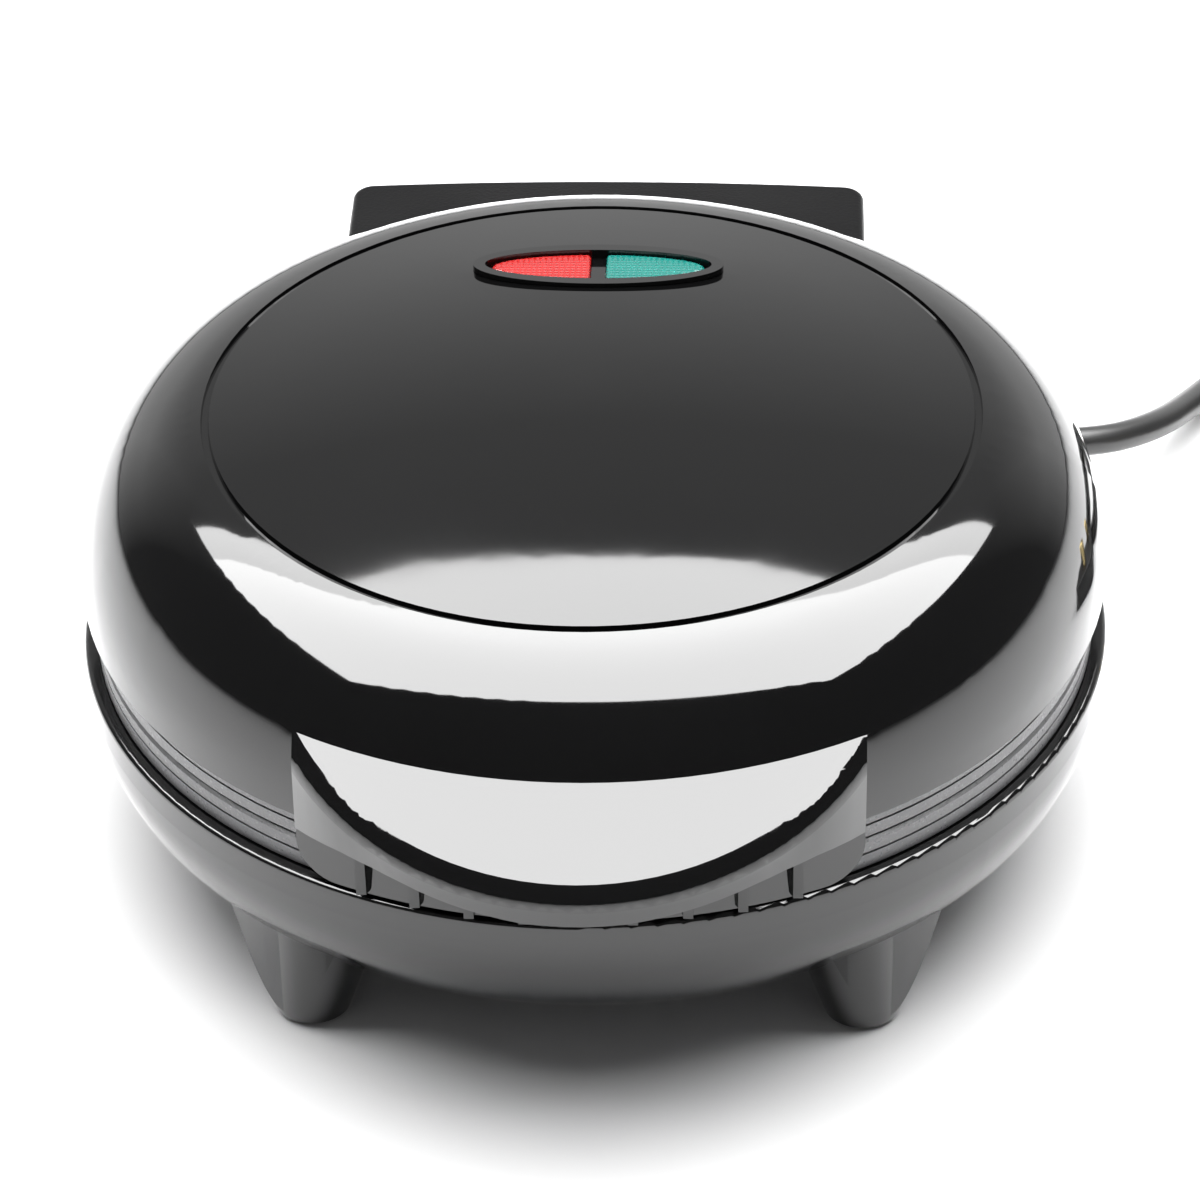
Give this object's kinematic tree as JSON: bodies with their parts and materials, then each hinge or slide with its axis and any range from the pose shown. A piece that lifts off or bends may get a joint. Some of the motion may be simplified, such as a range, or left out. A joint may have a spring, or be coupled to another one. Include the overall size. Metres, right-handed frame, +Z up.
{
  "type": "omelette maker",
  "caption": "Countertop omelette maker with a domed hinged lid, half-moon non-stick plates, front handle, indicator lights, feet and a mains cord.",
  "frame": {"origin": "on the table under the centre of the object's box, cord left out", "axes": "+Z up, -Y the front with the handle, +Y the hinge at the back, +X the side the cord leaves from"},
  "size_m": [0.3646, 0.3395, 0.1055],
  "materials": {
    "lid_gloss": "high gloss black",
    "base_gloss": "gloss black",
    "matte_black": "matte black",
    "non_stick": "dark grey non-stick coating with a fine sparkle",
    "element_steel": "heat-tinted steel tube",
    "shield_aluminium": "plain sheet",
    "zinc_steel": "zinc plated",
    "sensor_steel": "pressed cap",
    "rubber_black": "matte black rubber",
    "red_clear": "clear red lens",
    "green_clear": "clear blue-green lens",
    "lamp_glass": "clear lamp glass",
    "holder_white": "natural white",
    "cord_black": "smooth black sheath",
    "plug_black": "satin black",
    "pin_brass": "bright brass",
    "wire_white": "braided sleeve"
  },
  "bodies": {
    "base": {"base_shell": "base_gloss", "foot_pads": "rubber_black", "lower_plate": "non_stick", "lower_element": "element_steel", "lower_heat_shield": "shield_aluminium", "thermostat": "sensor_steel", "thermal_fuse": "sensor_steel", "fuse_clip": "zinc_steel", "base_screws": "zinc_steel", "rear_housing": "matte_black", "housing_screws": "zinc_steel", "hinge_pins": "zinc_steel", "terminal_block": "holder_white", "inner_cord": "cord_black", "base_wiring": "wire_white", "cord_gland": "cord_black", "cord_lead": "cord_black", "cord_coil": "cord_black", "plug_body": "plug_black", "plug_pins": "pin_brass"},
    "lid": {"lid_shell": "lid_gloss", "hinge_cover": "matte_black", "cover_screws": "zinc_steel", "upper_plate": "non_stick", "upper_element": "element_steel", "upper_heat_shield": "shield_aluminium", "lid_screws": "zinc_steel", "indicator_frame": "base_gloss", "red_lens": "red_clear", "green_lens": "green_clear", "lamp_holder": "holder_white", "indicator_lamps": "lamp_glass", "lid_wiring": "wire_white"}
  },
  "joints": [
    {"name": "lid_hinge", "type": "hinge", "parent": "base", "child": "lid", "pos_m": [0, 0.1125, 0.0548], "axis": [-1, 0, 0], "range_deg": [0, 100]}
  ]
}
